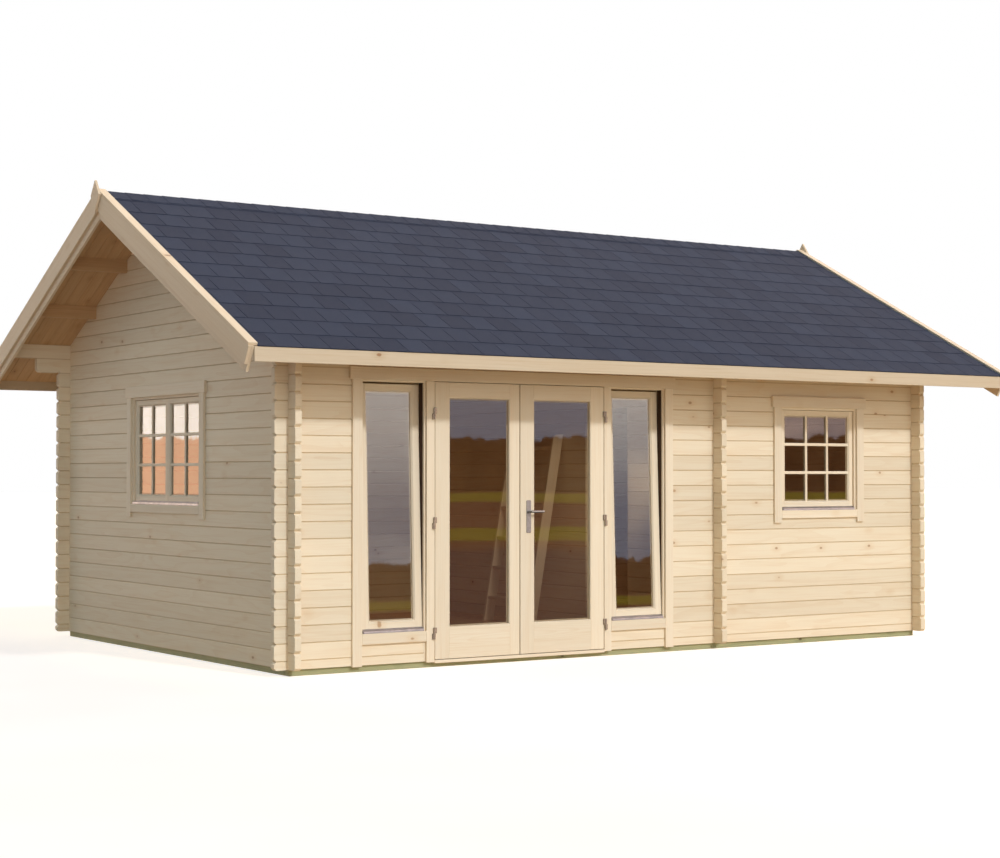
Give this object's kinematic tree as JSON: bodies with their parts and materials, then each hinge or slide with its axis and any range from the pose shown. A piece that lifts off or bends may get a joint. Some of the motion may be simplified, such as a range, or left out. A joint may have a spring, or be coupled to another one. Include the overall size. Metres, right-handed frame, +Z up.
{
  "type": "log cabin",
  "caption": "Garden cabin of interlocking square logs with a shingled gable roof, deep verges, a glazed double door between tall tilted windows, and small windows.",
  "frame": {"origin": "on the ground under the middle of the house and its roof", "axes": "+X along the ridge, towards the gable without a window; -Y the entrance side; +Z up"},
  "size_m": [7.31, 5.144, 3.641],
  "materials": {
    "pine_logs": "planed, clear",
    "pine_boards": "planed, clear",
    "pine_floor": "planed, clear",
    "roof_pine": "planed, clear",
    "treated_pine": "pressure-treated, rough",
    "shingle": "mineral granules on bitumen felt",
    "window_glass": "clear",
    "grey_metal": "satin",
    "hinge_steel": "galvanised",
    "handle_steel": "satin"
  },
  "bodies": {
    "house": {"front_wall_left": "pine_logs", "front_wall_right": "pine_logs", "front_wall_under_windows": "pine_logs", "front_wall_top": "pine_logs", "rear_wall": "pine_logs", "rear_wall_top": "pine_logs", "left_gable_wall": "pine_logs", "right_gable_wall": "pine_logs", "partition_front": "pine_logs", "partition_rear": "pine_logs", "partition_over": "pine_logs", "floor": "pine_floor", "foundation_beams": "treated_pine", "purlins": "roof_pine", "roof_boards_front": "roof_pine", "roof_boards_rear": "roof_pine", "shingles_front": "shingle", "shingles_rear": "shingle", "ridge_cap": "shingle", "door_threshold": "pine_boards", "fascia_boards": "pine_boards", "left_bargeboards": "pine_boards", "right_bargeboards": "pine_boards", "left_inner_bargeboards": "pine_boards", "right_inner_bargeboards": "pine_boards", "verge_caps": "pine_boards", "finials": "pine_boards", "entrance_frame": "pine_boards", "entrance_casing": "pine_boards", "side_window_sashes": "pine_boards", "window_frames": "pine_boards", "window_casings": "pine_boards", "window_sashes": "pine_boards", "ladder": "pine_boards", "window_glass": "window_glass", "drip_rails": "grey_metal", "door_hinge_pins": "hinge_steel"},
    "left_leaf": {"door_leaf_left": "pine_boards", "door_glass_left": "window_glass", "door_hinges_left": "hinge_steel"},
    "right_leaf": {"door_leaf_right": "pine_boards", "door_glass_right": "window_glass", "door_hinges_right": "hinge_steel", "handle_plates": "handle_steel"},
    "lever": {"handle_lever": "handle_steel"}
  },
  "joints": [
    {"name": "left_leaf_hinge", "type": "hinge", "parent": "house", "child": "left_leaf", "pos_m": [-1.883, -2.06, 1.043], "axis": [0, 0, -1], "range_deg": [0, 120]},
    {"name": "right_leaf_hinge", "type": "hinge", "parent": "house", "child": "right_leaf", "pos_m": [-0.331, -2.06, 1.043], "axis": [0, 0, 1], "range_deg": [0, 120]},
    {"name": "lever_turn", "type": "hinge", "parent": "right_leaf", "child": "lever", "pos_m": [-1.047, -2.03, 1.118], "axis": [0, 1, 0], "range_deg": [0, 45], "stiffness_Nm_per_rad": 1.5}
  ]
}
